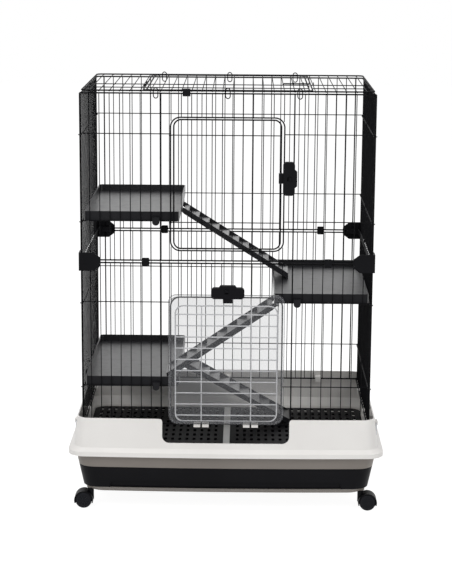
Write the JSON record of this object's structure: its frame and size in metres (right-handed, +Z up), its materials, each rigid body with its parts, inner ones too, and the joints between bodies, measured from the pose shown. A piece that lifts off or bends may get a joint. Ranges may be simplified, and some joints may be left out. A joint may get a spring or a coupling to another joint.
{
  "type": "small animal cage",
  "caption": "Tall wire cage for small animals on casters, with platforms, ramps, a wire door, a clear ramp door, a roof door and a litter drawer under a slotted floor.",
  "frame": {"origin": "on the floor under the middle of the cage", "axes": "+Z up, front with the doors and the drawer towards -Y, +X to the right as seen from the front"},
  "size_m": [0.81, 0.528, 1.0959],
  "materials": {
    "black_wire": "satin black powder coat",
    "white_wire": "satin white coat",
    "clear_plastic": "clear, glossy",
    "white_plastic": "fine satin, warm white",
    "taupe_plastic": "satin taupe",
    "grey_plastic": "satin light grey",
    "platform_plastic": "grained black",
    "ramp_plastic": "satin dark grey",
    "black_plastic": "satin black",
    "wheel_plastic": "satin black",
    "bright_wire": "bright plated",
    "steel": "plain drawn"
  },
  "bodies": {
    "cage": {"base_tub": "taupe_plastic", "tub_skirt": "white_plastic", "centre_beam": "grey_plastic", "floor_grid_left": "black_plastic", "floor_grid_right": "black_plastic", "bail_brackets": "white_plastic", "caster_stems": "steel", "front_upper_panel": "black_wire", "front_lower_panel": "black_wire", "back_upper_panel": "black_wire", "back_lower_panel": "black_wire", "left_upper_panel": "black_wire", "left_lower_panel": "black_wire", "right_upper_panel": "black_wire", "right_lower_panel": "black_wire", "roof_panel": "black_wire", "roof_loops": "black_wire", "roof_clip": "black_plastic", "connector_front_left": "black_plastic", "connector_front_right": "black_plastic", "connector_back_left": "black_plastic", "connector_back_right": "black_plastic", "joiner_clips": "black_plastic", "upper_platform": "platform_plastic", "middle_platform": "platform_plastic", "lower_platform": "platform_plastic", "ramp_pins": "steel", "upper_door_frame": "black_wire", "ramp_door_frame": "black_wire", "roof_rim": "black_wire", "roof_door_frame": "black_wire"},
    "drawer": {"litter_drawer": "black_plastic"},
    "upper_door": {"upper_door": "black_wire", "upper_latch_housing": "black_plastic"},
    "upper_bolt": {"upper_latch_bolt": "black_plastic"},
    "ramp_door": {"ramp_door_panel": "clear_plastic", "ramp_door_grid": "white_wire", "ramp_door_hinge_clips": "white_plastic", "ramp_latch_housing": "black_plastic"},
    "ramp_bolt": {"ramp_latch_bolt": "black_plastic"},
    "roof_door": {"roof_door": "black_wire"},
    "roof_bolt": {"roof_bolt": "black_wire"},
    "upper_ramp": {"upper_ramp": "ramp_plastic"},
    "middle_ramp": {"middle_ramp": "ramp_plastic"},
    "lower_ramp": {"lower_ramp": "ramp_plastic"},
    "left_bail": {"side_bail_left": "bright_wire"},
    "right_bail": {"side_bail_right": "bright_wire"},
    "caster_front_left": {"caster_hood_front_left": "black_plastic", "caster_axle_front_left": "steel"},
    "wheels_front_left": {"caster_wheels_front_left": "wheel_plastic"},
    "caster_front_right": {"caster_hood_front_right": "black_plastic", "caster_axle_front_right": "steel"},
    "wheels_front_right": {"caster_wheels_front_right": "wheel_plastic"},
    "caster_back_left": {"caster_hood_back_left": "black_plastic", "caster_axle_back_left": "steel"},
    "wheels_back_left": {"caster_wheels_back_left": "wheel_plastic"},
    "caster_back_right": {"caster_hood_back_right": "black_plastic", "caster_axle_back_right": "steel"},
    "wheels_back_right": {"caster_wheels_back_right": "wheel_plastic"}
  },
  "joints": [
    {"name": "drawer_slide", "type": "slide", "parent": "cage", "child": "drawer", "axis": [0, -1, 0], "range_m": [0, 0.4]},
    {"name": "upper_door_hinge", "type": "hinge", "parent": "cage", "child": "upper_door", "pos_m": [-0.141, -0.23585, 0.8555], "axis": [0, 0, -1], "range_deg": [0, 110]},
    {"name": "upper_bolt_slide", "type": "slide", "parent": "upper_door", "child": "upper_bolt", "axis": [-1, 0, 0], "range_m": [0, 0.0045]},
    {"name": "ramp_door_hinge", "type": "hinge", "parent": "cage", "child": "ramp_door", "pos_m": [0, -0.232, 0.237], "axis": [1, 0, 0], "range_deg": [0, 100]},
    {"name": "ramp_bolt_slide", "type": "slide", "parent": "ramp_door", "child": "ramp_bolt", "axis": [0, 0, -1], "range_m": [0, 0.0045]},
    {"name": "roof_door_hinge", "type": "hinge", "parent": "cage", "child": "roof_door", "pos_m": [-0.2095, 0, 1.08755], "axis": [0, -1, 0], "range_deg": [0, 110]},
    {"name": "roof_bolt_slide", "type": "slide", "parent": "roof_door", "child": "roof_bolt", "axis": [1, 0, 0], "range_m": [0, 0.016]},
    {"name": "upper_ramp_hinge", "type": "hinge", "parent": "cage", "child": "upper_ramp", "pos_m": [-0.128, 0.09, 0.7505], "axis": [0, -1, 0], "range_deg": [0, 20]},
    {"name": "middle_ramp_hinge", "type": "hinge", "parent": "cage", "child": "middle_ramp", "pos_m": [0.128, -0.14, 0.5435], "axis": [0, 1, 0], "range_deg": [0, 20]},
    {"name": "lower_ramp_hinge", "type": "hinge", "parent": "cage", "child": "lower_ramp", "pos_m": [-0.128, 0.108, 0.325], "axis": [0, -1, 0], "range_deg": [0, 20]},
    {"name": "left_bail_hinge", "type": "hinge", "parent": "cage", "child": "left_bail", "pos_m": [-0.3928, -0.12, 0.213], "axis": [0, 1, 0], "range_deg": [0, 100]},
    {"name": "right_bail_hinge", "type": "hinge", "parent": "cage", "child": "right_bail", "pos_m": [0.3928, -0.12, 0.213], "axis": [0, -1, 0], "range_deg": [0, 100]},
    {"name": "swivel_front_left", "type": "hinge", "parent": "cage", "child": "caster_front_left", "pos_m": [-0.351, -0.194, 0.0465], "axis": [0, 0, 1], "continuous": true},
    {"name": "roll_front_left", "type": "hinge", "parent": "caster_front_left", "child": "wheels_front_left", "pos_m": [-0.369, -0.194, 0.021], "axis": [0, 1, 0], "continuous": true},
    {"name": "swivel_front_right", "type": "hinge", "parent": "cage", "child": "caster_front_right", "pos_m": [0.351, -0.194, 0.0465], "axis": [0, 0, 1], "continuous": true},
    {"name": "roll_front_right", "type": "hinge", "parent": "caster_front_right", "child": "wheels_front_right", "pos_m": [0.369, -0.194, 0.021], "axis": [0, 1, 0], "continuous": true},
    {"name": "swivel_back_left", "type": "hinge", "parent": "cage", "child": "caster_back_left", "pos_m": [-0.351, 0.194, 0.0465], "axis": [0, 0, 1], "continuous": true},
    {"name": "roll_back_left", "type": "hinge", "parent": "caster_back_left", "child": "wheels_back_left", "pos_m": [-0.369, 0.194, 0.021], "axis": [0, 1, 0], "continuous": true},
    {"name": "swivel_back_right", "type": "hinge", "parent": "cage", "child": "caster_back_right", "pos_m": [0.351, 0.194, 0.0465], "axis": [0, 0, 1], "continuous": true},
    {"name": "roll_back_right", "type": "hinge", "parent": "caster_back_right", "child": "wheels_back_right", "pos_m": [0.369, 0.194, 0.021], "axis": [0, 1, 0], "continuous": true}
  ]
}
